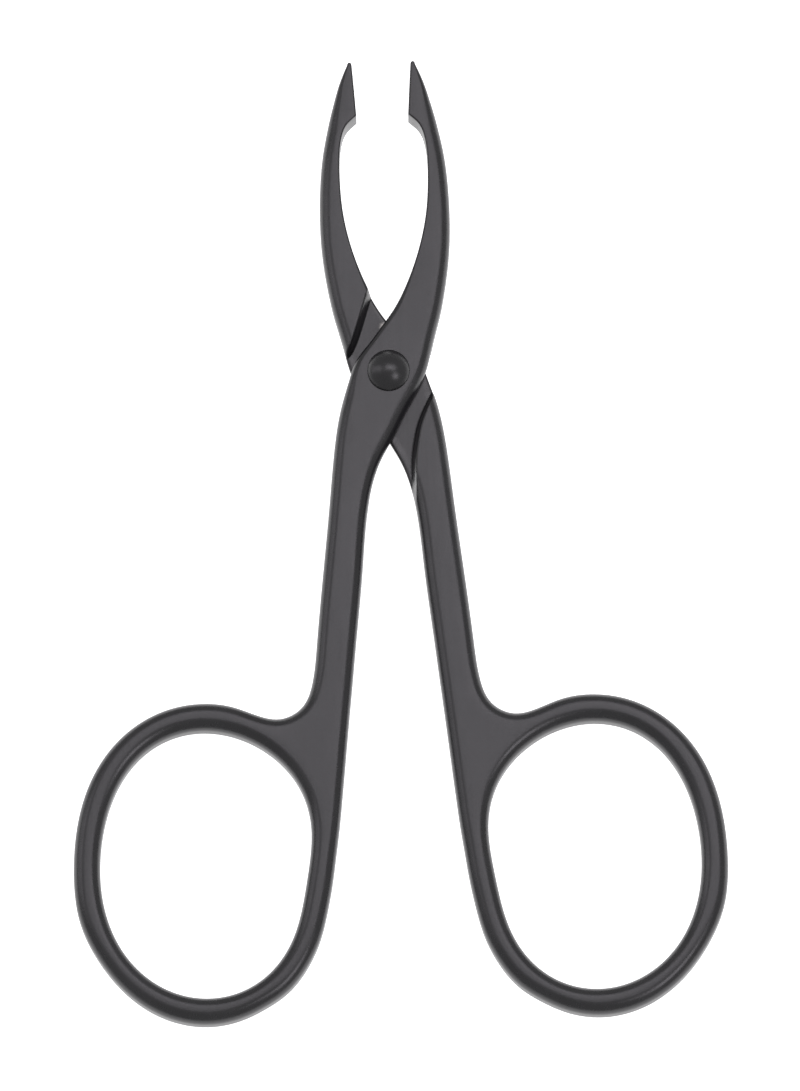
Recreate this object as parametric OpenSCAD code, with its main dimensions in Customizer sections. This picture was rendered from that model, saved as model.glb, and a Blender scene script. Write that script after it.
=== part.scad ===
// Scissor-handled tweezers: two crossed levers that turn on one rivet.
// The tool lies flat. +Z goes up through its thickness, +Y points to the tips,
// and the origin is on the rivet's axis, at the underside.
// Both levers are the same forging: the back one is the front one turned over.

/* [Levers] */
// Thickness of a lever at its jaw, shank and ring, which is also that of the lap
thick = 3.2; // [2.6:0.1:3.8]
// Radius that rounds the shank, the ring and the outside of the jaw
edge_r = 1.1; // [0.6:0.05:1.2]
// Share of that radius left on the crisp edges of the gripping side
crisp = 0.1; // [0.05:0.05:0.3]
// Play between the two lapped plates
lap_play = 0.04; // [0.02:0.01:0.1]
// Steps along each outline curve from one knot to the next
steps = 2; // [1:1:3]

/* [Finger rings] */
// Middle of the finger opening, to the side of the rivet
ring_x = 20.8; // [20.6:0.1:21]
// Middle of the finger opening, behind the rivet
ring_y = 51.1; // [50.9:0.1:51.3]
// Size of the finger opening against the usual one
opening_k = 1; // [0.94:0.01:1]

/* [Rivet] */
// Diameter of the pin
pin_d = 2.4; // [1.8:0.1:2.8]
// Play around the pin in the front lever, on the radius
pin_play = 0.03; // [0.02:0.01:0.08]
// Diameter of the domed head
head_d = 4.3; // [3.6:0.1:4.8]
// Height of the domed head
head_h = 1.2; // [0.8:0.1:1.6]
// Diameter of the peened tail at the underside
tail_d = 3.2; // [3:0.1:3.6]

/* [Hidden] */
$fn = 64;

mid = thick / 2;
pin_r = pin_d / 2;
head_rim = 0.25;
tail_depth = 0.5;
past = 1;       // how far a cutter runs past what it cuts
ring_sides = 48;
black = [0.13, 0.13, 0.14];

// A knot is [x, y, k]: a place on the outline of the front lever, which has the right
// jaw and the left ring, and the share of edge_r that rounds its edge there.
// Down the gripping side: face of the tip, bow of the jaw, edge of the lap plate,
// outside of the shank, fillet over the web, and the far side of the ring.
inner_knots = [
    [3, 33.05, 0.08], [2.85, 30.45, crisp], [2.65, 27.3, crisp], [3.1, 26.9, crisp],
    [3.6, 26.4, crisp], [4, 25.7, crisp], [4.25, 24.85, crisp], [4.45, 23.4, crisp],
    [4.5, 21.05, crisp], [4.3, 17.4, crisp], [3.75, 14.3, crisp], [2.9, 11.4, crisp],
    [1.8, 8.7, crisp], [0.75, 6.75, crisp], [-0.5, 4.95, crisp], [-2, 2.95, crisp],
    [-3.3, 1.25, 0.3], [-4, -0.55, 0.7], [-4.7, -2.7, 1], [-5.3, -5.2, 1], [-5.85, -8.95, 1],
    [-6.4, -14.15, 1], [-7.1, -20.35, 1], [-8, -28.65, 1], [-8.55, -32.6, 1], [-9.6, -35, 1],
    [-11.9, -36.2, 1], [-14.2, -35.75, 1], [-16.7, -34.8, 1], [-20, -34.4, 1], [-24, -35.2, 1],
    [-27.9, -37.65, 1], [-30.9, -41.6, 1], [-32.65, -46.85, 1], [-33.1, -51.5, 1],
    [-32.6, -56.7, 1], [-30.7, -60.95, 1], [-27.7, -64.65, 1], [-24, -67.05, 1], [-20, -67.9, 1]];

// Down the other side: outside of the jaw, edge of the lap plate, inside of the
// shank, and the near side of the ring.
outer_knots = [
    [3.45, 33.05, 0.08], [4.3, 30.85, 0.4], [4.95, 28.8, 0.7], [5.35, 27.35, 0.85],
    [5.55, 26.5, 0.95], [5.75, 25.65, 1], [5.95, 24.6, 1], [6.15, 23.6, 1], [6.5, 20.6, 1],
    [6.65, 17.2, 1], [6.6, 14.2, 1], [6.35, 11.4, 1], [5.9, 8.5, 1], [5.45, 6.3, 1],
    [4.85, 4.05, 1], [4.35, 2.05, 1], [3.7, -0.2, 1], [2.75, -2.15, 1], [1.6, -4.15, 1],
    [0.35, -6.65, 1], [-1, -9.15, 1], [-2.2, -12.9, 1], [-3.1, -20.35, 1], [-4, -28.65, 1],
    [-4.45, -32.8, 1], [-4.8, -35.95, 1], [-5, -37.8, 1], [-5.2, -39.65, 1], [-5.4, -41.55, 1],
    [-5.6, -43.4, 1], [-5.85, -45.7, 1], [-6.15, -48.2, 1], [-6.5, -50.65, 1],
    [-6.9, -53.35, 1], [-7.5, -56.4, 1], [-8.4, -59.6, 1], [-9.7, -62.2, 1], [-11.6, -64.55, 1],
    [-13.9, -66.15, 1], [-16.8, -67.45, 1]];

// Radius of the finger opening at every 30 degrees, from its outer side over its top
opening_r = [9.6, 10.2, 12.15, 13.8, 13.85, 13, 11.6, 12.05, 13.8, 14, 12.35, 10.45];

// The lap recess lies between two shoulders: a straight one below the jaw,
// and a curved one above the shank.
recess = [
    [1.5, 10.45], [2.25, 8], [4, 2.85], [4.45, 2.25], [7.5, 1.7], [7.5, -7.9], [1, -13.1],
    [-2.3, -15.2], [-2.55, -13.6], [-2.65, -11.6], [-2.7, -9.1], [-2.95, -7.3], [-3.3, -5.7],
    [-3.9, -4.15], [-4.95, -2.05], [-6.6, 0.95], [-6.6, 10.45]];

// Catmull-Rom curve through four knots, at t from 0 to 1 between the middle two
function curve(a, b, c, d, t) =
    0.5 * (2 * b + t * (c - a) + t * t * (2 * a - 5 * b + 4 * c - d)
        + t * t * t * (3 * b - a - 3 * c + d));

// The whole outline curve through an open list of knots
function smooth_side(k) = concat(
    [for (i = [0 : len(k) - 2], s = [0 : steps - 1])
        curve(k[max(i - 1, 0)], k[i], k[i + 1], k[min(i + 2, len(k) - 1)], s / steps)],
    [k[len(k) - 1]]);

// Rows that round a plate's edge: [share of the radius cut away, height]
function edge_rows(r) = let (soft = r * (1 - cos(45))) [
    [1, 0], [1 - cos(45), soft], [0, r],
    [0, thick - r], [1 - cos(45), thick - soft], [1, thick]];

function turned_in(loop, i) = let (
    n = len(loop),
    along = loop[(i + 1) % n] - loop[(i + n - 1) % n],
    size = norm([along[0], along[1]])) [-along[1], along[0]] / size;

function reversed(list) = [for (i = [len(list) - 1 : -1 : 0]) list[i]];

// A plate with rounded edges between two sides that run from the tip to the ring.
// The flats above and below are made of rungs from one side to the other.
module rounded_plate(left, right) {
    loop = concat(left, reversed(right));
    n = len(loop);
    rungs = len(left);
    rows = 6;
    points = [for (j = [0 : rows - 1], i = [0 : n - 1])
        let (
            p = loop[i],
            r = edge_r * p[2],
            row = edge_rows(r)[j],
            q = [p[0], p[1]] + turned_in(loop, i) * r * row[0])
        [q[0], q[1], row[1]]];
    walls = [for (j = [0 : rows - 2], i = [0 : n - 1])
        let (a = j * n + i, b = j * n + (i + 1) % n)
        each [[a, a + n, b + n], [a, b + n, b]]];
    under = [for (i = [0 : rungs - 2])
        let (a = i, b = i + 1, c = n - 2 - i, d = n - 1 - i)
        each [[a, b, c], [a, c, d]]];
    top = [for (f = under) [for (v = reversed(f)) v + (rows - 1) * n]];
    polyhedron(points, concat(walls, under, top), convexity = 10);
}

// Radius of the finger opening at any angle
function opening_at(a) = let (
    n = len(opening_r),
    i = floor(a / 30),
    t = a / 30 - i)
    opening_k * curve(opening_r[(i + n - 1) % n], opening_r[i % n],
        opening_r[(i + 1) % n], opening_r[(i + 2) % n], t);

// Cutter for the finger opening, flared at both faces to round the ring's inner edge
module finger_opening() {
    flare = 1 - cos(45);
    rows = [
        [-past, 1], [0, 1], [edge_r * flare, flare], [edge_r, 0],
        [thick - edge_r, 0], [thick - edge_r * flare, flare], [thick, 1], [thick + past, 1]];
    n = ring_sides;
    points = [for (row = rows, i = [0 : n - 1])
        let (a = i * 360 / n, r = opening_at(a) + edge_r * row[1])
        [-ring_x - r * cos(a), -ring_y + r * sin(a), row[0]]];
    walls = [for (j = [0 : len(rows) - 2], i = [0 : n - 1])
        let (a = j * n + i, b = j * n + (i + 1) % n)
        each [[a, b, b + n], [a, b + n, a + n]]];
    last = (len(rows) - 1) * n;
    polyhedron(points, concat(walls,
        [[for (i = [n - 1 : -1 : 0]) i]],
        [[for (i = [0 : n - 1]) last + i]]), convexity = 4);
}

// One lever, lying as the front one does, with its lower half cut away at the lap
module lever(bore_r) {
    difference() {
        rounded_plate(smooth_side(inner_knots), smooth_side(outer_knots));
        finger_opening();
        translate([0, 0, -past])
            linear_extrude(past + mid + lap_play / 2) polygon(recess);
        translate([0, 0, -past])
            cylinder(h = thick + 2 * past, r = bore_r);
    }
}

module front_lever() {
    color(black) lever(pin_r + pin_play);
}

// The same lever turned over, with a tight bore that is countersunk for the tail
module back_lever() {
    color(black) difference() {
        translate([0, 0, thick]) rotate([0, 180, 0]) lever(pin_r);
        cylinder(h = tail_depth, r1 = tail_d / 2, r2 = pin_r);
    }
}

// Pin, low domed head above the front lever, and tail peened flush underneath
module pivot_rivet() {
    seat = thick + lap_play;
    dome_h = head_h - head_rim;
    dome_r = (pow(head_d / 2, 2) + pow(dome_h, 2)) / (2 * dome_h);
    color(black) union() {
        cylinder(h = seat + head_rim / 2, r = pin_r);
        cylinder(h = tail_depth, r1 = tail_d / 2, r2 = pin_r);
        intersection() {
            translate([0, 0, seat]) cylinder(h = head_h + past, r = head_d / 2);
            translate([0, 0, seat + head_h - dome_r]) sphere(r = dome_r);
        }
    }
}

front_lever();
back_lever();
pivot_rivet();
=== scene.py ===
# %% [markdown]
# # Black scissor-handled tweezers
# This lesson builds the looks of a small pair of scissor-handled tweezers around a packed
# CAD model. Two equal levers cross and turn on one rivet. We never move the CAD parts:
# we build finer meshes that take their place, and we let them ride on the CAD bodies.
# Everything is in metres, +Z is up, +Y points to the tips, and the tool lies flat.

# %% Load the frame
import math

import bpy
import numpy as np
from mathutils import Matrix, Vector
from mathutils.geometry import delaunay_2d_cdt


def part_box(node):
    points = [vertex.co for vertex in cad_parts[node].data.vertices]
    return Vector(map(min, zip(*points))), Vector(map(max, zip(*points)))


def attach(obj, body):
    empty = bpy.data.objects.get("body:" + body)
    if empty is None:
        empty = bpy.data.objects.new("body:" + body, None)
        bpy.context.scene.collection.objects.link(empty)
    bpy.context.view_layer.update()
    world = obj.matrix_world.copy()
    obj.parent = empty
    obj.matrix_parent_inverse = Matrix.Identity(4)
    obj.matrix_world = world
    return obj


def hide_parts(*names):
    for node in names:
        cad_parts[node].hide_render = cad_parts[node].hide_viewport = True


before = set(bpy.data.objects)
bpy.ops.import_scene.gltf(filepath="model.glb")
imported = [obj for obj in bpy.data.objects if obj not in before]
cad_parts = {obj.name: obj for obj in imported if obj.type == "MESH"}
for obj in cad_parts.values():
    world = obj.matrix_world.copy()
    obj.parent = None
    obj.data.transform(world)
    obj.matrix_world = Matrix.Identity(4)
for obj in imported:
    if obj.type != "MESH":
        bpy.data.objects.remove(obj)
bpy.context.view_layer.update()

MM = 0.001

# %% [markdown]
# ## What the CAD fixes
# The thickness of a lever, the width and height of the rivet's head and the reach of the tips come
# from the CAD nodes' own boxes. If the CAD changes, these numbers follow it. The
# forging's own small sizes, such as how round an edge is, are set beside them.

# %% Sizes read from the frame
lever_low, lever_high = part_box("front_lever")
rivet_low, rivet_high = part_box("pivot_rivet")
THICK = (lever_high.z - lever_low.z) / MM
HEAD_R = (rivet_high.x - rivet_low.x) / 2 / MM
HEAD_TOP = rivet_high.z / MM
TIP_ROOM = 0.03     # millimetres that the rounded point stays inside the CAD box
TIP_Y = lever_high.y / MM - TIP_ROOM
print(f"lever {THICK:.2f} mm thick, head {2 * HEAD_R:.2f} mm wide, top at {HEAD_TOP:.2f} mm")

# %% Sizes of the forging, in millimetres
EDGE_R = 1.15       # full rounding of an edge
CRISP = 0.17        # share of it on the gripping side
PLATE = 0.48        # share of it on the edge that crosses the lap
LAP_PLAY = 0.04     # air between the two lap plates
LAP_EDGE = 0.22     # rounding of a lap plate's inner edge
WALL_W = 0.6        # width of a shoulder's slanting wall
BORE_R = 1.2        # radius of the rivet's pin
BORE_PLAY = 0.03    # air round the pin
TAIL_R = 1.6        # radius of the countersink for the rivet's tail
TAIL_DEPTH = 0.5
print("edges", EDGE_R, "mm, crisp edges", round(EDGE_R * CRISP, 2), "mm")

# %% [markdown]
# ## The outline of a lever
# A drop forging has an outline of long sweeping curves. We describe it by knots in
# millimetres, as `[x, y, k]`, where k is the share of the full edge rounding there. They
# follow the outline in the CAD source. A cubic spline runs through them. We could trace a Bezier curve instead, but a spline with
# continuous curvature keeps the highlights along the bars smooth.

# %% Knots down the gripping side
grip_face = [
    [3, 32.7, CRISP], [2.85, 30.45, CRISP], [2.65, 27.3, CRISP]]

jaw_to_ring = [
    [2.65, 27.3, CRISP], [3.1, 26.9, CRISP], [3.6, 26.4, CRISP], [4, 25.7, CRISP],
    [4.25, 24.85, CRISP], [4.45, 23.4, CRISP], [4.5, 21.05, CRISP], [4.3, 17.4, CRISP],
    [3.75, 14.3, CRISP], [2.9, 11.4, 0.2], [1.8, 8.7, 0.34], [0.75, 6.75, PLATE],
    [-0.5, 4.95, PLATE], [-2, 2.95, PLATE], [-3.3, 1.25, 0.6], [-4, -0.55, 0.7],
    [-4.7, -2.7, 1], [-5.3, -5.2, 1], [-5.85, -8.95, 1], [-6.4, -14.15, 1], [-7.1, -20.35, 1],
    [-8, -28.65, 1], [-8.55, -32.6, 1], [-9.6, -35, 1], [-11.9, -36.2, 1], [-14.2, -35.75, 1],
    [-16.7, -34.8, 1], [-20, -34.4, 1], [-24, -35.2, 1], [-27.9, -37.65, 1], [-30.9, -41.6, 1],
    [-32.65, -46.85, 1], [-33.1, -51.5, 1], [-32.6, -56.7, 1], [-30.7, -60.95, 1],
    [-27.7, -64.65, 1], [-24, -67.05, 1], [-20, -67.9, 1]]
print("gripping side:", len(grip_face) + len(jaw_to_ring) - 1, "knots")

# %% Knots down the other side
outside = [
    [-20, -67.9, 1], [-16.8, -67.45, 1], [-13.9, -66.15, 1], [-11.6, -64.55, 1],
    [-9.7, -62.2, 1], [-8.4, -59.6, 1], [-7.5, -56.4, 1], [-6.9, -53.35, 1], [-6.5, -50.65, 1],
    [-6.15, -48.2, 1], [-5.85, -45.7, 1], [-5.6, -43.4, 1], [-5.4, -41.55, 1],
    [-5.2, -39.65, 1], [-5, -37.8, 1], [-4.8, -35.95, 1], [-4.45, -32.8, 1], [-4, -28.65, 1],
    [-3.1, -20.35, 1], [-2.2, -12.9, 1], [-1, -9.15, 1], [0.35, -6.65, 1], [1.6, -4.15, 1],
    [2.75, -2.15, 1], [3.7, -0.2, 1], [4.35, 2.05, 1], [4.85, 4.05, 1], [5.45, 6.3, 1],
    [5.9, 8.5, 1], [6.35, 11.4, 1], [6.6, 14.2, 1], [6.65, 17.2, 1], [6.5, 20.6, 1],
    [6.15, 23.6, 1], [5.75, 25.65, 1], [5.35, 27.35, 0.85], [4.95, 28.8, 0.7],
    [4.3, 30.85, 0.4], [3.5, 32.7, CRISP]]
print("other side:", len(outside), "knots")

# %% A spline through knots
def spline(knots, spacing):
    """Points on the natural cubic spline through the knots; spacing(x, y) is how far apart."""
    k = np.array(knots, float)
    s = np.concatenate([[0], np.cumsum(np.hypot(*np.diff(k[:, :2], axis=0).T))])
    h = np.diff(s)
    n = len(k)
    rows = np.eye(n)
    sums = np.zeros((n, k.shape[1]))
    for i in range(1, n - 1):
        rows[i, i - 1:i + 2] = h[i - 1], 2 * (h[i - 1] + h[i]), h[i]
        sums[i] = 6 * ((k[i + 1] - k[i]) / h[i] - (k[i] - k[i - 1]) / h[i - 1])
    bend = np.linalg.solve(rows, sums)

    def at(u):
        i = min(np.searchsorted(s, u, side="right") - 1, n - 2)
        a, b = (s[i + 1] - u) / h[i], (u - s[i]) / h[i]
        curved = ((a**3 - a) * bend[i] + (b**3 - b) * bend[i + 1]) * h[i] ** 2 / 6
        return a * k[i] + b * k[i + 1] + curved

    places, u = [], 0.0
    while u < s[-1]:
        places.append(u)
        x, y, _ = at(u)
        u += spacing(x, y)
    stretch = s[-1] / u
    points = [at(p * stretch) for p in places]
    return np.array(points + [k[-1]])


# %% [markdown]
# ## The lap joint
# Where the levers cross, each loses half its thickness. The recess ends at two shoulders:
# a straight one below the jaw, and a curved one above the shank. The outline needs more
# points where a shoulder runs into it, or the shoulder's wall would look jagged.

# %% The two shoulders of the lap recess
jaw_shoulder = [
    [1.5, 10.45, 0], [2.25, 8, 0], [3.15, 5.15, 0], [4, 2.9, 0], [4.4, 2.3, 0],
    [4.95, 2, 0], [5.9, 1.85, 0], [7.5, 1.7, 0]]
shank_shoulder = [
    [-2.3, -15.2, 0], [-2.55, -13.6, 0], [-2.65, -11.6, 0], [-2.7, -9.1, 0],
    [-2.95, -7.3, 0], [-3.3, -5.7, 0], [-3.9, -4.15, 0], [-4.95, -2.05, 0],
    [-6.2, 0.25, 0], [-7.4, 2.4, 0]]
LINE_STEP = 0.15

shoulders = [spline(k, lambda x, y: LINE_STEP)[:, :2] for k in (jaw_shoulder, shank_shoulder)]
print("shoulders:", [len(line) for line in shoulders], "points")

# %% Distances to lines
BATCH = 2000        # points measured at a time, to spare memory


def measured(points, starts, ends):
    """For each batch of points: its slice, where on each edge it falls, and how far that is."""
    d = ends - starts
    size = np.maximum((d * d).sum(1), 1e-12)
    for first in range(0, len(points), BATCH):
        p = points[first:first + BATCH, None, :]
        t = np.clip(((p - starts) * d).sum(2) / size, 0, 1)
        far = np.hypot(*np.moveaxis(p - starts - t[..., None] * d, 2, 0))
        yield slice(first, first + BATCH), t, far


def gap_to(points, lines):
    """Distance from each point to the nearest of some lines, given as starts and ends."""
    best = np.full(len(points), np.inf)
    for starts, ends in lines:
        for part, _, far in measured(points, starts, ends):
            best[part] = np.minimum(best[part], far.min(1))
    return best


shoulder_lines = [(line[:-1], line[1:]) for line in shoulders]
print("rivet's axis to a shoulder:", gap_to(np.zeros((1, 2)), shoulder_lines)[0].round(2), "mm")

# %% The outer loop
FINEST, COARSEST = 0.07, 0.42   # between points of the outline
SHOULDER_NEAR = 0.9             # points stay finest this near a shoulder
SHOULDER_GROWTH = 0.25
TIP_STEP, TIP_START = 0.1, 24   # spacing at the tip, and where the tip begins
TIP_GROWTH = 0.15
TIP_SIDES = 8


def outline_step(x, y):
    """Small steps by the shoulders and at the tip, and larger ones further away."""
    past = gap_to(np.array([[x, y]]), shoulder_lines)[0] - SHOULDER_NEAR
    by_shoulder = FINEST + SHOULDER_GROWTH * max(0.0, past)
    by_tip = TIP_STEP + TIP_GROWTH * max(0.0, TIP_START - y)
    return min(COARSEST, by_shoulder, by_tip)


def rounded_tip():
    """Half a turn round the point of the tip, from its outer side to its gripping face."""
    a, b = np.array(outside[-1][:2]), np.array(grip_face[0][:2])
    middle, across = (a + b) / 2, (a - b) / 2
    turn = np.linspace(0, math.pi, TIP_SIDES + 1)[1:-1]
    rise = np.array([0, TIP_Y - a[1]])
    return np.array([[*(middle + across * math.cos(t) + rise * math.sin(t)), CRISP]
                     for t in turn])


outer_loop = np.concatenate([
    spline(grip_face, outline_step)[:-1],
    spline(jaw_to_ring + outside[1:], outline_step),
    rounded_tip()])
outer_loop[:, 2] = outer_loop[:, 2].clip(CRISP, 1)
print("outer loop:", len(outer_loop), "points")

# %% [markdown]
# ## The finger opening
# The opening is an egg, wider at the shank's side. Twelve radii around its middle, one for
# every 30 degrees, describe it. A Fourier series runs smoothly through all twelve and closes
# on itself, which a plain spline would not do at its ends.

# %% The finger opening and the bore
RING = np.array([-20.8, -51.1])
opening_r = [9.6, 10.2, 12.15, 13.8, 13.85, 13, 11.6, 12.05, 13.8, 14, 12.35, 10.45]


def egg(count):
    """Points round the finger opening, with the full rounding on its edge."""
    waves = np.fft.rfft(opening_r) / len(opening_r)
    waves[1:-1] *= 2
    a = np.arange(count) * 2 * math.pi / count
    r = sum((w * np.exp(1j * k * a)).real for k, w in enumerate(waves))
    return np.stack([RING[0] - r * np.cos(a), RING[1] + r * np.sin(a), np.ones(count)], 1)


def circle(r, count):
    """Points round the rivet's axis, with a crisp edge."""
    a = np.arange(count) * 2 * math.pi / count
    return np.stack([r * np.cos(a), r * np.sin(a), np.full(count, CRISP)], 1)


finger_loop = egg(count=200)
bore_loop = circle(BORE_R + BORE_PLAY, count=48)
loops = [outer_loop, finger_loop, bore_loop[::-1]]
print("finger loop:", len(finger_loop), "points")

# %% [markdown]
# ## A flat plan with points where the shape needs them
# The lever is a flat plan that will be lifted by a rule, so we need a clean triangle mesh of
# the plan. Rows of points run parallel to every rim, closer together where the rounding is
# steep, and more lines follow the shoulders. A constrained Delaunay triangulation joins
# them all. A remesh or a boolean would leave ragged edges on such crisp features.

# %% Rows along the rims and lines along the shoulders
# Degrees round the quarter circle of an edge, and millimetres from a shoulder's foot
row_turns = np.radians([0, 12, 24, 36, 48, 60, 72, 81, 90])
SHOULDER_OFFSETS = [-0.12, 0.0, 0.07, 0.16, 0.26, 0.36, 0.46, 0.54, 0.6, 0.72]


def inward(loop):
    """Unit arrows from each point of a loop into the metal."""
    along = np.roll(loop[:, :2], -1, 0) - np.roll(loop[:, :2], 1, 0)
    size = np.hypot(*along.T)[:, None]
    return np.stack([-along[:, 1], along[:, 0]], 1) / size


def sideways(line, offset):
    """The same line, moved to its left by the offset."""
    along = np.gradient(line, axis=0)
    size = np.hypot(*along.T)[:, None]
    return line + np.stack([-along[:, 1], along[:, 0]], 1) / size * offset


coords, edges = [], []


def add_line(points, closed):
    first = len(coords)
    coords.extend(map(tuple, points))
    n = len(points)
    edges.extend((first + i, first + (i + 1) % n) for i in range(n if closed else n - 1))


for loop in loops:
    into = inward(loop)
    for turn in row_turns:
        inset = EDGE_R * loop[:, 2] * (1 - math.cos(turn))
        add_line(loop[:, :2] + into * inset[:, None], True)
for line in shoulders:
    for offset in SHOULDER_OFFSETS:
        add_line(sideways(line, -offset), False)
print("plan:", len(coords), "points and", len(edges), "edges before triangulating")

# %% Fill the metal with a grid
def inside(points, loop):
    """Whether each point is in the loop: a ray from it crosses the loop an odd number of times."""
    a, b = loop, np.roll(loop, -1, 0)
    odd = np.zeros(len(points), bool)
    for (ax, ay), (bx, by) in zip(a, b):
        if ay != by:
            crosses = (ay > points[:, 1]) != (by > points[:, 1])
            x = ax + (points[:, 1] - ay) * (bx - ax) / (by - ay)
            odd ^= crosses & (points[:, 0] < x)
    return odd


def in_metal(points):
    keep = inside(points, outer_loop[:, :2])
    for hole in loops[1:]:
        keep &= ~inside(points, hole[:, :2])
    return keep


GRID = 0.7
GRID_SHIFT = 0.013              # keeps the grid off the round numbers of the knots
ROWS_CLEAR = EDGE_R + 0.25      # keeps it off the rows along the rims
rims = [(loop[:, :2], np.roll(loop[:, :2], -1, 0)) for loop in loops]

grid = np.stack(np.meshgrid(np.arange(-33, 7, GRID), np.arange(-69, 33, GRID)), -1)
grid = grid.reshape(-1, 2) + GRID_SHIFT
clear = gap_to(grid, rims) > ROWS_CLEAR
clear &= gap_to(grid, shoulder_lines) > SHOULDER_NEAR
grid = grid[clear & in_metal(grid)]
coords.extend(map(tuple, grid))
print("grid:", len(grid), "points")

# %% Rings of points for the rub marks, each given as [x, y, radius]
RUB_MARKS = [[0.45, 5.2, 0.7], [-4.6, -2.7, 0.3]]
RUB_RINGS = (0.05, 0.35, 0.65, 0.95)
RUB_CLEAR = 0.6

for x, y, r in RUB_MARKS:
    for share in RUB_RINGS:
        spot = circle(r * share, count=12)[:, :2] + (x, y)
        spot = spot[in_metal(spot) & (gap_to(spot, rims) > RUB_CLEAR)]
        coords.extend(map(tuple, spot))
print("plan:", len(coords), "points with the rub marks")

# %% Triangulate and keep the metal
plan_xy, _, plan_faces, *_ = delaunay_2d_cdt([Vector(c) for c in coords], edges, [], 0, 1e-5)
plan_xy = np.array(plan_xy)
plan_faces = np.array([f for f in plan_faces if len(f) == 3])
centres = plan_xy[plan_faces].mean(1)
plan_faces = plan_faces[in_metal(centres)]
used, plan_faces = np.unique(plan_faces, return_inverse=True)
plan_faces = plan_faces.reshape(-1, 3)
plan_xy = plan_xy[used]
print("plan:", len(plan_xy), "points and", len(plan_faces), "triangles")

# %% [markdown]
# ## What each point of the plan knows
# The tree that shapes the metal works from a few facts per point, so we measure them once.
# `rim` runs from 0 on a rim to 1 where its rounding ends. `edge` is the radius of that
# rounding. `lap` is how far a point lies inside the recess, and `bore` its distance from
# the rivet's axis. `rub` marks where the two laps slide on each other and wear the coating.

# %% Measure the roundings
def nearest_edge(points):
    """For each point: the least distance to a rim in shares of its rounding, and the radius."""
    best = np.full(len(points), np.inf)
    radius = np.full(len(points), EDGE_R)
    for loop in loops:
        ends = np.roll(loop, -1, 0)
        for part, t, far in measured(points, loop[:, :2], ends[:, :2]):
            r = EDGE_R * (loop[:, 2] + t * (ends[:, 2] - loop[:, 2]))
            share = far / r
            rows, j = np.arange(len(far)), share.argmin(1)
            closer = share[rows, j] < best[part]
            best[part] = np.where(closer, share[rows, j], best[part])
            radius[part] = np.where(closer, r[rows, j], radius[part])
    return best, radius


rim_share, edge_radius = nearest_edge(plan_xy)
print("roundings from", edge_radius.min().round(2), "to", edge_radius.max().round(2), "mm")

# %% Measure the lap and the rub marks
recess_loop = np.concatenate([
    shoulders[0], [[9, -8], [3, -14.5]], shoulders[1], [[-8, 10.5]]])
lap_far = gap_to(plan_xy, shoulder_lines)
in_lap = inside(plan_xy, recess_loop)
RUB_CORE = 0.3      # share of a mark's radius that is worn right through


def rubbed(points):
    """Places where the levers rub on each other as they turn: 1 in the middle of a mark."""
    shares = [np.hypot(points[:, 0] - x, points[:, 1] - y) / r for x, y, r in RUB_MARKS]
    return (1 + RUB_CORE - np.min(shares, 0)).clip(0, 1)


facts = {
    "rim": rim_share.clip(0, 1),
    "rub": rubbed(plan_xy),
    "edge": edge_radius * MM,
    "lap": np.where(in_lap, lap_far, -lap_far) * MM,
    "bore": np.hypot(*plan_xy.T) * MM}
for name, values in facts.items():
    print(f"{name}: {values.min():.5f} to {values.max():.5f}")

# %% Make the plan an object
plan = bpy.data.meshes.new("plan")
plan.from_pydata(np.c_[plan_xy * MM, np.zeros(len(plan_xy))].tolist(), [], plan_faces.tolist())
for name, values in facts.items():
    plan.attributes.new(name, "FLOAT", "POINT").data.foreach_set("value", values.astype("f"))
print("plan mesh:", len(plan.polygons), "faces, first normal", plan.polygons[0].normal[:])

# %% [markdown]
# ## Helpers for node trees
# Shader trees and geometry trees are both built from nodes and links. Three small helpers
# keep that readable: one adds a node and fills its sockets, one makes a Math node, and one
# gives a tree its named inputs and outputs.

# %% Node helpers
def add(tree, kind, inputs=None, **settings):
    node = tree.nodes.new(kind)
    for name, value in settings.items():
        setattr(node, name, value)
    for key, value in (inputs or {}).items():
        if isinstance(value, bpy.types.NodeSocket):
            tree.links.new(value, node.inputs[key])
        else:
            node.inputs[key].default_value = value
    return node


def calc(tree, operation, *values, clamp=False):
    node = add(tree, "ShaderNodeMath", dict(enumerate(values)), operation=operation)
    node.use_clamp = clamp
    return node.outputs[0]


def sockets(tree, inputs, outputs):
    """inputs and outputs are lists of (name, socket type, value), and a value may be None."""
    for way, rows in (("INPUT", inputs), ("OUTPUT", outputs)):
        for name, kind, value in rows:
            made = tree.interface.new_socket(name, in_out=way, socket_type=kind)
            if value is not None:
                made.default_value = value
    return tree.nodes.new("NodeGroupInput").outputs, tree.nodes.new("NodeGroupOutput").inputs


# %% [markdown]
# ## The forging tree
# On the real tool, a hammered blank is rounded along its edges and milled away at the lap.
# The tree does the same by rule. It extrudes the plan, lowers the top by a quarter circle
# near each rim, and raises the underside to the lap floor behind a slanting shoulder.
# One tree makes both levers, because the back lever is the same forging turned over.
# Displace modifiers could do it too, but they would hide the rule that sets the heights.

# %% How high each point of the plan lies
FLOAT, BOOL = "NodeSocketFloat", "NodeSocketBool"
GEOMETRY, MATERIAL = "NodeSocketGeometry", "NodeSocketMaterial"


def fact(tree, name):
    return add(tree, "GeometryNodeInputNamedAttribute", {"Name": name}).outputs["Attribute"]


def quarter_round(tree, share):
    """How deep a rounding of radius 1 has fallen at a share of the way in from the rim."""
    left = calc(tree, "SUBTRACT", 2.0, share)
    return calc(tree, "SUBTRACT", 1.0, calc(tree, "SQRT", calc(tree, "MULTIPLY", share, left)))


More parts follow.
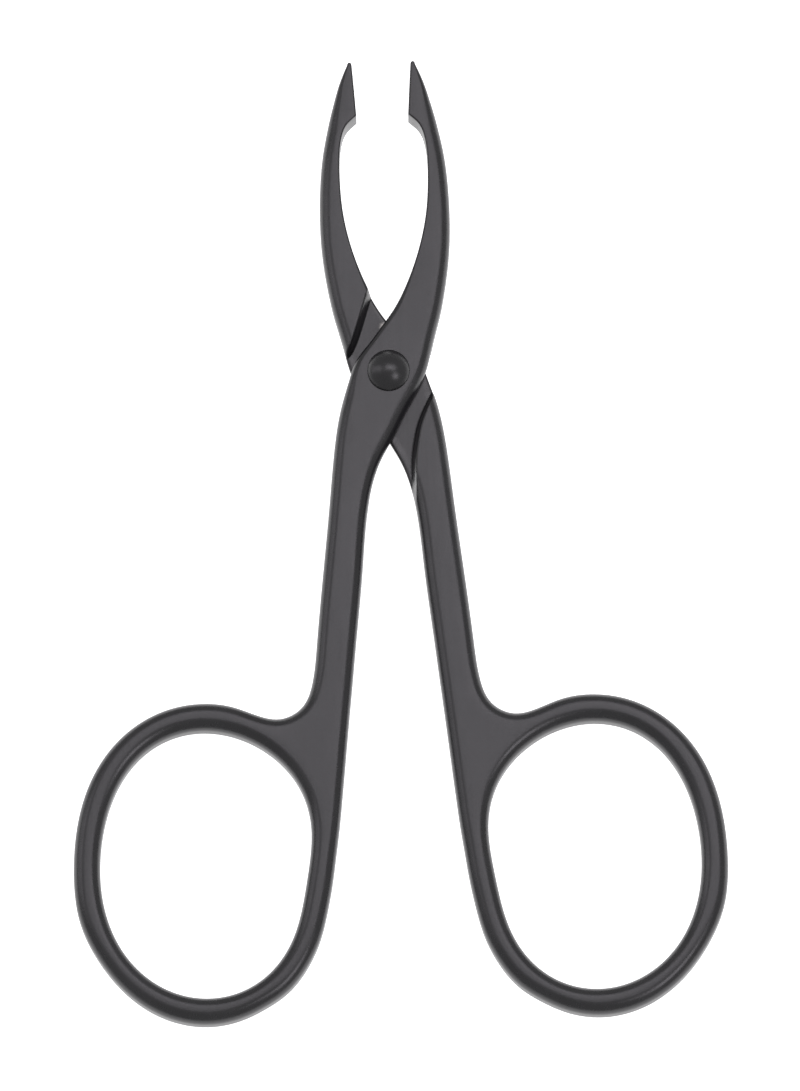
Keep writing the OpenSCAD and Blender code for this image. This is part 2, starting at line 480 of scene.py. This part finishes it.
def forged_heights(tree, ins):
    """Heights of the top and of the underside at each point of the plan."""
    rim, edge = fact(tree, "rim"), fact(tree, "edge")
    soft = calc(tree, "MULTIPLY", edge, quarter_round(tree, rim))
    sunk = add(tree, "ShaderNodeMapRange", {
        "Value": fact(tree, "bore"), "From Min": ins["Sink Radius"], "From Max": BORE_R * MM,
        "To Min": 0.0, "To Max": ins["Sink Depth"]}).outputs[0]
    top = calc(tree, "SUBTRACT", ins["Thickness"], calc(tree, "MAXIMUM", soft, sunk))

    inset = calc(tree, "MULTIPLY", rim, edge)
    near = calc(tree, "DIVIDE", inset, ins["Lap Edge"], clamp=True)
    lap_soft = calc(tree, "MULTIPLY", ins["Lap Edge"], quarter_round(tree, near))
    middle = calc(tree, "MULTIPLY", calc(tree, "ADD", ins["Thickness"], ins["Lap Play"]), 0.5)
    lap_floor = calc(tree, "ADD", middle, lap_soft)
    climb = add(tree, "ShaderNodeMapRange", {
        "Value": fact(tree, "lap"), "From Min": 0.0, "From Max": ins["Shoulder Run"]},
        interpolation_type="SMOOTHSTEP").outputs[0]
    rise = calc(tree, "MULTIPLY", calc(tree, "SUBTRACT", lap_floor, soft), climb)
    return top, calc(tree, "ADD", soft, rise)


# %% The two skins and the walls between them
ANY_HEIGHT = 0.001      # the heights replace it at once


def closed_skin(tree, flat_plan, top, bottom):
    """The plan made a closed shell at the two heights, with the rub marks on its underside."""
    raised = add(tree, "GeometryNodeExtrudeMesh", {
        "Mesh": flat_plan, "Offset Scale": ANY_HEIGHT, "Individual": False}, mode="FACES")
    is_top = add(tree, "GeometryNodeStoreNamedAttribute", {
        "Geometry": raised.outputs["Mesh"], "Name": "is_top", "Value": raised.outputs["Top"]},
        data_type="BOOLEAN", domain="POINT")
    under = add(tree, "GeometryNodeFlipFaces", {"Mesh": flat_plan}).outputs[0]
    joined = tree.nodes.new("GeometryNodeJoinGeometry")
    tree.links.new(under, joined.inputs[0])
    tree.links.new(is_top.outputs[0], joined.inputs[0])

    flat = add(tree, "GeometryNodeInputPosition").outputs[0]
    flat = add(tree, "ShaderNodeSeparateXYZ", {0: flat}).outputs
    upper = add(tree, "ShaderNodeCombineXYZ", {"X": flat["X"], "Y": flat["Y"], "Z": top})
    lower = add(tree, "ShaderNodeCombineXYZ", {"X": flat["X"], "Y": flat["Y"], "Z": bottom})
    chosen = add(tree, "GeometryNodeInputNamedAttribute", {"Name": "is_top"},
                 data_type="BOOLEAN").outputs["Attribute"]
    place = add(tree, "GeometryNodeSwitch", {
        "Switch": chosen, "False": lower.outputs[0], "True": upper.outputs[0]},
        input_type="VECTOR").outputs[0]
    shaped = add(tree, "GeometryNodeSetPosition", {
        "Geometry": joined.outputs[0], "Position": place}).outputs[0]
    rub = calc(tree, "MULTIPLY", fact(tree, "rub"), calc(tree, "SUBTRACT", 1.0, chosen))
    return add(tree, "GeometryNodeStoreNamedAttribute", {
        "Geometry": shaped, "Name": "rub", "Value": rub},
        data_type="FLOAT", domain="POINT").outputs[0]


# %% The end that every tree shares
def finished(tree, shape, outs, finish):
    """Smooth shading, no instances, one finish, and out of the tree."""
    smooth = add(tree, "GeometryNodeSetShadeSmooth", {"Geometry": shape}).outputs[0]
    real = add(tree, "GeometryNodeRealizeInstances", {"Geometry": smooth}).outputs[0]
    painted = add(tree, "GeometryNodeSetMaterial", {
        "Geometry": real, "Material": finish}).outputs[0]
    tree.links.new(painted, outs["Geometry"])
    return tree


# %% Build the forging tree
WELD = 0.0005           # points closer than this are one


def forging_tree():
    tree = bpy.data.node_groups.new("forged lever", "GeometryNodeTree")
    ins, outs = sockets(tree, [
        ("Geometry", GEOMETRY, None), ("Thickness", FLOAT, THICK * MM),
        ("Lap Play", FLOAT, LAP_PLAY * MM), ("Lap Edge", FLOAT, LAP_EDGE * MM),
        ("Shoulder Run", FLOAT, WALL_W * MM), ("Sink Radius", FLOAT, TAIL_R * MM),
        ("Sink Depth", FLOAT, 0.0), ("Turned Over", BOOL, False),
        ("Finish", MATERIAL, None)], [("Geometry", GEOMETRY, None)])
    shell = closed_skin(tree, ins["Geometry"], *forged_heights(tree, ins))
    whole = add(tree, "GeometryNodeMergeByDistance", {
        "Geometry": shell, "Distance": WELD * MM}).outputs[0]
    up = add(tree, "ShaderNodeCombineXYZ", {"Z": ins["Thickness"]}).outputs[0]
    over = add(tree, "GeometryNodeTransform", {
        "Geometry": whole, "Translation": up, "Rotation": (0, math.pi, 0)}).outputs[0]
    side = add(tree, "GeometryNodeSwitch", {
        "Switch": ins["Turned Over"], "False": whole, "True": over},
        input_type="GEOMETRY").outputs[0]
    return finished(tree, side, outs, ins["Finish"])


forging = forging_tree()
print("forging tree:", len(forging.nodes), "nodes")

# %% [markdown]
# ## The lathe tree
# The rivet is turned, so half its outline is enough. The tree reads the outline's points in
# order and sweeps them round the Z axis. A Screw modifier does that too, but a tree keeps
# the number of segments and the finish as inputs beside each other.

# %% Build the lathe tree
SEAM = 0.001            # the first and last rows, and each pole, are this close


def lathe_tree():
    tree = bpy.data.node_groups.new("lathe", "GeometryNodeTree")
    ins, outs = sockets(tree, [
        ("Geometry", GEOMETRY, None), ("Segments", "NodeSocketInt", 128),
        ("Finish", MATERIAL, None)], [("Geometry", GEOMETRY, None)])
    count = add(tree, "GeometryNodeAttributeDomainSize", {0: ins["Geometry"]}).outputs[0]
    around = calc(tree, "ADD", ins["Segments"], 1.0)
    sheet = add(tree, "GeometryNodeMeshGrid", {
        "Size X": 1.0, "Size Y": 1.0, "Vertices X": around, "Vertices Y": count}).outputs[0]
    number = add(tree, "GeometryNodeInputIndex").outputs[0]
    row = calc(tree, "MODULO", number, count)
    column = calc(tree, "FLOOR", calc(tree, "DIVIDE", number, count))
    turn = calc(tree, "MULTIPLY", calc(tree, "DIVIDE", column, ins["Segments"]), 2 * math.pi)
    half = add(tree, "GeometryNodeSampleIndex", {
        "Geometry": ins["Geometry"], "Index": row,
        "Value": add(tree, "GeometryNodeInputPosition").outputs[0]},
        data_type="FLOAT_VECTOR").outputs[0]
    half = add(tree, "ShaderNodeSeparateXYZ", {0: half}).outputs
    place = add(tree, "ShaderNodeCombineXYZ", {
        "X": calc(tree, "MULTIPLY", half["X"], calc(tree, "COSINE", turn)),
        "Y": calc(tree, "MULTIPLY", half["X"], calc(tree, "SINE", turn)),
        "Z": half["Z"]}).outputs[0]
    swept = add(tree, "GeometryNodeSetPosition", {
        "Geometry": sheet, "Position": place}).outputs[0]
    closed = add(tree, "GeometryNodeMergeByDistance", {
        "Geometry": swept, "Distance": SEAM * MM}).outputs[0]
    return finished(tree, closed, outs, ins["Finish"])


lathe = lathe_tree()
print("lathe tree:", len(lathe.nodes), "nodes")

# %% [markdown]
# ## Effects that the finishes share
# Both blacks show the same effects in different strengths: a fine orange-peel in the
# coating, faint grinding lines under it, a polish along worn edges, a thin film of dust,
# and bare metal where the laps rub. Each effect is a shader group with named inputs, and
# gives only masks, values and a height.

# %% Shader groups
def shader_group(name, inputs, outputs):
    tree = bpy.data.node_groups.new(name, "ShaderNodeTree")
    ins, outs = sockets(tree, [(n, FLOAT, v) for n, v in inputs],
                        [(n, FLOAT, None) for n in outputs])
    where = tree.nodes.new("ShaderNodeTexCoord").outputs["Object"]
    return tree, ins, outs, where


def noise(tree, where, scale, detail, rough):
    made = add(tree, "ShaderNodeTexNoise", {
        "Vector": where, "Scale": scale, "Detail": detail, "Roughness": rough})
    return made.outputs[0]


def coat_grain():
    """Orange-peel: fine pits over slow waves. Grain is 0 to 1, Height feeds a Bump."""
    tree, ins, outs, where = shader_group("coat grain", [
        ("Pit Scale", 9000.0), ("Wave Scale", 900.0), ("Wave Share", 0.5)],
        ["Grain", "Height"])
    pits = noise(tree, where, ins["Pit Scale"], 2.0, 0.6)
    waves = noise(tree, where, ins["Wave Scale"], 2.0, 0.4)
    part = calc(tree, "MULTIPLY", waves, ins["Wave Share"])
    tree.links.new(pits, outs["Grain"])
    tree.links.new(calc(tree, "ADD", pits, part), outs["Height"])
    return tree


def edge_polish():
    """Worn edges: strongest on the turn of a rounding, broken up by a patchy noise."""
    tree, ins, outs, where = shader_group("edge polish", [
        ("Rim", 1.0), ("Sharpness", 3.0), ("Patch Scale", 700.0), ("Patchiness", 0.6)],
        ["Mask"])
    low = calc(tree, "MULTIPLY", ins["Rim"], calc(tree, "SUBTRACT", 1.0, ins["Rim"]))
    turn = calc(tree, "POWER", calc(tree, "MULTIPLY", low, 4.0), ins["Sharpness"])
    patch = noise(tree, where, ins["Patch Scale"], 3.0, 0.6)
    patch = add(tree, "ShaderNodeMapRange", {
        "Value": patch, "From Min": 0.42, "From Max": 0.62}).outputs[0]
    bare = calc(tree, "SUBTRACT", 1.0, ins["Patchiness"])
    keep = calc(tree, "MULTIPLY_ADD", patch, ins["Patchiness"], bare)
    tree.links.new(calc(tree, "MULTIPLY", turn, keep, clamp=True), outs["Mask"])
    return tree


def dust_film():
    """A thin uneven film: slow clouds with small specks in them."""
    tree, ins, outs, where = shader_group("dust film", [
        ("Cloud Scale", 120.0), ("Speck Scale", 3800.0), ("Speck Share", 0.4)], ["Mask"])
    cloud = noise(tree, where, ins["Cloud Scale"], 4.0, 0.6)
    speck = noise(tree, where, ins["Speck Scale"], 1.0, 0.5)
    speck = add(tree, "ShaderNodeMapRange", {
        "Value": speck, "From Min": 0.64, "From Max": 0.76}).outputs[0]
    both = calc(tree, "MULTIPLY_ADD", speck, ins["Speck Share"], cloud)
    tree.links.new(both, outs["Mask"])
    return tree


def grinding_marks():
    """Fine lines along the length, left by the belt before coating. Stretch is under 1."""
    tree, ins, outs, where = shader_group("grinding marks", [
        ("Line Scale", 3000.0), ("Stretch", 0.05)], ["Lines"])
    long = add(tree, "ShaderNodeCombineXYZ", {"X": 1.0, "Y": ins["Stretch"], "Z": 1.0}).outputs[0]
    drawn = add(tree, "ShaderNodeVectorMath", {0: where, 1: long}, operation="MULTIPLY")
    lines = noise(tree, drawn.outputs[0], ins["Line Scale"], 3.0, 0.6)
    tree.links.new(lines, outs["Lines"])
    return tree


def rubbed_bare():
    """Bare metal where a mark is strong, with a ragged edge, and none on the side walls."""
    tree, ins, outs, where = shader_group("rubbed bare", [
        ("Mark", 0.0), ("Rim", 1.0), ("Ragged Scale", 2600.0)], ["Mask"])
    ragged = noise(tree, where, ins["Ragged Scale"], 4.0, 0.7)
    both = calc(tree, "ADD", ins["Mark"], ragged)
    mask = add(tree, "ShaderNodeMapRange", {
        "Value": both, "From Min": 1.12, "From Max": 1.5}).outputs[0]
    face = add(tree, "ShaderNodeMapRange", {
        "Value": ins["Rim"], "From Min": 0.05, "From Max": 0.3}).outputs[0]
    tree.links.new(calc(tree, "MULTIPLY", mask, face), outs["Mask"])
    return tree


groups = {g.name: g for g in (
    coat_grain(), edge_polish(), dust_film(), grinding_marks(), rubbed_bare())}
print("shader groups:", sorted(groups))

# %% [markdown]
# ## The black coating
# The levers carry a thin black coating over forged steel: satin, a little uneven, slightly
# glossier where it wraps over an edge. The rivet has the same black but smoother, since it
# is turned and rubbed. So one function builds both, from a short list of values each.

# %% Helpers for the finishes
def blend(tree, share, low, high):
    """Low where share is 0 and high where it is 1, for plain values."""
    return add(tree, "ShaderNodeMapRange", {"Value": share, "To Min": low, "To Max": high}
               ).outputs[0]


def colours(tree, share, low, high):
    mixed = add(tree, "ShaderNodeMix", {0: share, 6: low, 7: high}, data_type="RGBA")
    return mixed.outputs[2]


def group(tree, name, **values):
    """One of the shared effects, with its own values in this material."""
    return add(tree, "ShaderNodeGroup", {k.replace("_", " "): v for k, v in values.items()},
               node_tree=groups[name]).outputs


# %% One coating for both blacks
RUBBED_STEEL = (0.20, 0.193, 0.18, 1)
COAT_IOR = 1.5
POLISH_GLOSS = 0.1      # roughness that the polish takes away
DUST_DULL = 0.06        # roughness that the dust adds
LINE_RELIEF = 0.6       # height of the grinding lines against the grain


def black_coating(name, base, dusty, rough, bump, pit_scale):
    """base and dusty are colours, rough is lowest and highest, bump is strength and mm."""
    mat = bpy.data.materials.new(name)
    mat.use_nodes = True
    tree = mat.node_tree
    shader = next(n for n in tree.nodes if n.type == "BSDF_PRINCIPLED")
    rim = add(tree, "ShaderNodeAttribute", attribute_name="rim").outputs["Fac"]
    grain = group(tree, "coat grain", Pit_Scale=pit_scale, Wave_Scale=900.0, Wave_Share=0.5)
    polish = group(tree, "edge polish", Rim=rim, Sharpness=3.0, Patch_Scale=700.0)["Mask"]
    dust = group(tree, "dust film", Cloud_Scale=130.0, Speck_Share=0.35)["Mask"]
    cover = add(tree, "ShaderNodeMapRange", {
        "Value": dust, "From Min": 0.35, "From Max": 0.85}).outputs[0]
    rub = add(tree, "ShaderNodeAttribute", attribute_name="rub").outputs["Fac"]
    bare = group(tree, "rubbed bare", Mark=rub, Rim=rim)["Mask"]
    lines = group(tree, "grinding marks", Line_Scale=3000.0, Stretch=0.05)["Lines"]
    tint = colours(tree, cover, base, dusty)
    metal = colours(tree, bare, tint, RUBBED_STEEL)
    tree.links.new(metal, shader.inputs["Base Color"])
    tree.links.new(bare, shader.inputs["Metallic"])
    patchy = calc(tree, "MULTIPLY_ADD", lines, 0.5, calc(tree, "MULTIPLY", grain["Grain"], 0.5))
    wide = blend(tree, patchy, rough[0], rough[1])
    sheen = calc(tree, "MULTIPLY_ADD", polish, -POLISH_GLOSS, wide)
    film = calc(tree, "MULTIPLY_ADD", cover, DUST_DULL, sheen, clamp=True)
    tree.links.new(film, shader.inputs["Roughness"])
    shader.inputs["IOR"].default_value = COAT_IOR
    height = calc(tree, "MULTIPLY_ADD", lines, LINE_RELIEF, grain["Height"])
    bumped = add(tree, "ShaderNodeBump", {
        "Strength": bump[0], "Distance": bump[1] * MM, "Height": height})
    tree.links.new(bumped.outputs[0], shader.inputs["Normal"])
    return mat


# %% Materials
lever_black = black_coating(
    "lever_black", (0.013, 0.0125, 0.0140, 1), (0.020, 0.0195, 0.0215, 1),
    (0.25, 0.35), (0.4, 0.014), 9000.0)
rivet_black = black_coating(
    "rivet_black", (0.010, 0.0095, 0.0110, 1), (0.016, 0.0155, 0.017, 1),
    (0.22, 0.30), (0.25, 0.01), 11000.0)
print("materials:", lever_black.name, rivet_black.name)

# %% [markdown]
# ## Run a tree and keep a plain mesh
# A tree lives on a modifier. Its inputs are set by identifier, the object is evaluated once,
# and the result becomes a mesh of its own. After that the modifier and its helper go, so
# the piece is plain geometry at the origin, as the CAD nodes are.

# %% From tree to piece
def piece_from(mesh, tree, name, **values):
    """A plain mesh object, made by running the tree on a mesh with these inputs."""
    source = bpy.data.objects.new(name + "_source", mesh)
    bpy.context.scene.collection.objects.link(source)
    modifier = source.modifiers.new("tree", "NODES")
    modifier.node_group = tree
    keys = {i.name: i.identifier for i in tree.interface.items_tree
            if i.item_type == "SOCKET" and i.in_out == "INPUT"}
    for label, value in values.items():
        modifier[keys[label.replace("_", " ")]] = value
    view = bpy.context.evaluated_depsgraph_get()
    made = bpy.data.meshes.new_from_object(source.evaluated_get(view), depsgraph=view)
    made.name = name
    made.materials.clear()
    made.materials.append(values["Finish"])
    made.polygons.foreach_set("material_index", [0] * len(made.polygons))
    bpy.data.objects.remove(source)
    piece = bpy.data.objects.new(name, made)
    bpy.context.scene.collection.objects.link(piece)
    print(name, len(made.polygons), "faces", [m and m.name for m in made.materials])
    return piece


front = piece_from(plan, forging, "front_lever_forged", Finish=lever_black)
back = piece_from(plan, forging, "back_lever_forged", Finish=lever_black,
                  Turned_Over=True, Sink_Depth=TAIL_DEPTH * MM)

# %% [markdown]
# ## The rivet's outline
# From the middle of the tail, out and up the pin, under the head, round its rim and over
# the dome. The tail is peened flush, so its face is barely crowned. A scaled sphere could
# make the head, but an outline on one true radius keeps its highlight round.

# %% The rivet's sizes
SEAT = THICK + LAP_PLAY
RIM_H = 0.12            # height of the head's rim, below the dome
RIM_R = 0.05            # rounding at the rim's foot
DOME_STEPS = 24
TAIL = [(0, 0.0), (0.8, 0.004), (1.3, 0.012), (1.5, 0.03), (1.56, 0.07)]
PIN = [(BORE_R, TAIL_DEPTH), (BORE_R, 1.2), (BORE_R, 2.2), (BORE_R, SEAT)]
UNDER_HEAD = [(1.6, SEAT), (HEAD_R - 0.1, SEAT)]

dome_h = HEAD_TOP - SEAT - RIM_H
dome_r = (HEAD_R ** 2 + dome_h ** 2) / (2 * dome_h)
print(f"dome {dome_h:.2f} mm high on a radius of {dome_r:.2f} mm")


# %% Turn the rivet
def rivet_outline():
    """Half the rivet's outline, as radius and height, from the tail to the top."""
    points = TAIL + PIN + UNDER_HEAD
    for i in range(5):
        a = -math.pi / 2 + i * math.pi / 8
        out, up = RIM_R * math.cos(a), RIM_R * math.sin(a)
        points.append((HEAD_R - RIM_R + out, SEAT + RIM_R + up))
    half = math.asin(HEAD_R / dome_r)
    for i in range(DOME_STEPS + 1):
        a = half * (1 - i / DOME_STEPS)
        up = dome_r * (math.cos(a) - math.cos(half))
        points.append((dome_r * math.sin(a), SEAT + RIM_H + up))
    return [(r * MM, 0, z * MM) for r, z in points]


outline = bpy.data.meshes.new("rivet_outline")
outline.from_pydata(rivet_outline(), [], [])
rivet = piece_from(outline, lathe, "rivet_turned", Finish=rivet_black)

# %% [markdown]
# ## Ride on the bodies
# Each piece rides on the CAD body that carries it, and the CAD node it stands for is hidden.
# The finish in the table was already given when the piece was made. The rivet rides with the
# back lever, because it is tight in that one and the front lever turns on it. Parenting by hand
# would work only at rest.

# %% Body, node and finish of each piece
for piece, body, node, finish in (
        (front, "front_body", "front_lever", "lever_black"),
        (back, "back_body", "back_lever", "lever_black"),
        (rivet, "back_body", "pivot_rivet", "rivet_black")):
    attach(piece, body)
    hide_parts(node)
    print(piece.name, "rides on", body)

# %% [markdown]
# ## Floor and light
# Small black tools are lit on a white sweep, because their edges then pick up a bright
# outline from below. Six square panels stand round the tool. The one beyond the tips lights
# the flats, and the others draw thin lines along the bars and glints on the rivet. One big
# panel would be simpler, but it would wash over the roundings too. The world adds a dim fill.

# %% Floor, in metres
FLOOR_SIZE = 12.0
FLOOR_DROP = 0.00005    # keeps the floor just below the underside, or the two would flicker
bpy.ops.mesh.primitive_plane_add(size=FLOOR_SIZE, location=(0, 0, -FLOOR_DROP))
floor = bpy.context.object
floor.name = "floor"
paper = bpy.data.materials.new("floor_paper")
paper.use_nodes = True
shader = next(n for n in paper.node_tree.nodes if n.type == "BSDF_PRINCIPLED")
shader.inputs["Base Color"].default_value = (0.9, 0.9, 0.9, 1)
shader.inputs["Roughness"].default_value = 0.9
shader.inputs["Specular IOR Level"].default_value = 0.1
shader.inputs["Emission Color"].default_value = (1, 1, 1, 1)
shader.inputs["Emission Strength"].default_value = 1.1
floor.data.materials.append(paper)
print("floor:", FLOOR_SIZE, "m wide")

# %% Lights, in metres, degrees and watts
MIDDLE = Vector((0, -18 * MM, 0))
PANEL_SIZE, PANEL_AWAY = 0.22, 0.6
PANEL_COLOUR = (1.0, 0.95, 1.03)


def panel(name, lean, toward, power):
    """A square panel round the tool: degrees down from overhead, degrees round from +X."""
    light = bpy.data.lights.new(name, "AREA")
    light.size = PANEL_SIZE
    light.energy = power
    light.color = PANEL_COLOUR
    lamp = bpy.data.objects.new(name, light)
    down, around = math.radians(lean), math.radians(toward)
    level = math.sin(down)
    away = Vector((level * math.cos(around), level * math.sin(around), math.cos(down)))
    lamp.location = MIDDLE + away * PANEL_AWAY
    lamp.rotation_euler = away.to_track_quat("Z", "Y").to_euler()
    lamp.visible_camera = False
    bpy.context.scene.collection.objects.link(lamp)


panel("beyond_the_tips", 18, 90, 0.38)
panel("right", 25, 38, 0.36)
panel("right_front", 37, -34, 0.50)
panel("left", 22, 145, 0.05)
panel("low_left", 44, 159, 0.20)
panel("side_left", 66, 163, 0.14)

# %% Fill light from all round
world = bpy.data.worlds.new("studio")
world.use_nodes = True
fill = world.node_tree.nodes["Background"].inputs
fill["Color"].default_value = (1, 1, 1, 1)
fill["Strength"].default_value = 0.55
bpy.context.scene.world = world
bpy.context.scene.view_settings.view_transform = "Standard"
print("lights:", len(bpy.data.lights))

# %% [markdown]
# ## The camera
# A long lens from far away keeps the rings and the tips at one scale. The camera looks
# down from a little to the rings' side, so that the small walls under the tips show. We
# could use an orthographic camera, but a real lens keeps its slight change of scale.

# %% Camera
TILT = math.radians(15.5)
ROLL = math.radians(-1.43)
AWAY = 1.6              # metres from the tool to the lens
SENSOR = 36             # millimetres, the camera's own
VIEW_H = 0.1110         # metres of the scene from the bottom of the view to its top
AIM = Vector((0.72 * MM, -18.1 * MM, 1.6 * MM))

lens = bpy.data.cameras.new("camera")
lens.lens = SENSOR * AWAY / VIEW_H
lens.clip_start = 0.01
camera = bpy.data.objects.new("camera", lens)
to_lens = Vector((0, -math.sin(TILT), math.cos(TILT)))
camera.location = AIM + to_lens * AWAY
upright = to_lens.to_track_quat("Z", "Y").to_matrix()
camera.rotation_euler = (upright @ Matrix.Rotation(ROLL, 3, "Z")).to_euler()
bpy.context.scene.collection.objects.link(camera)
bpy.context.scene.camera = camera
print(f"lens: {lens.lens:.0f} mm")
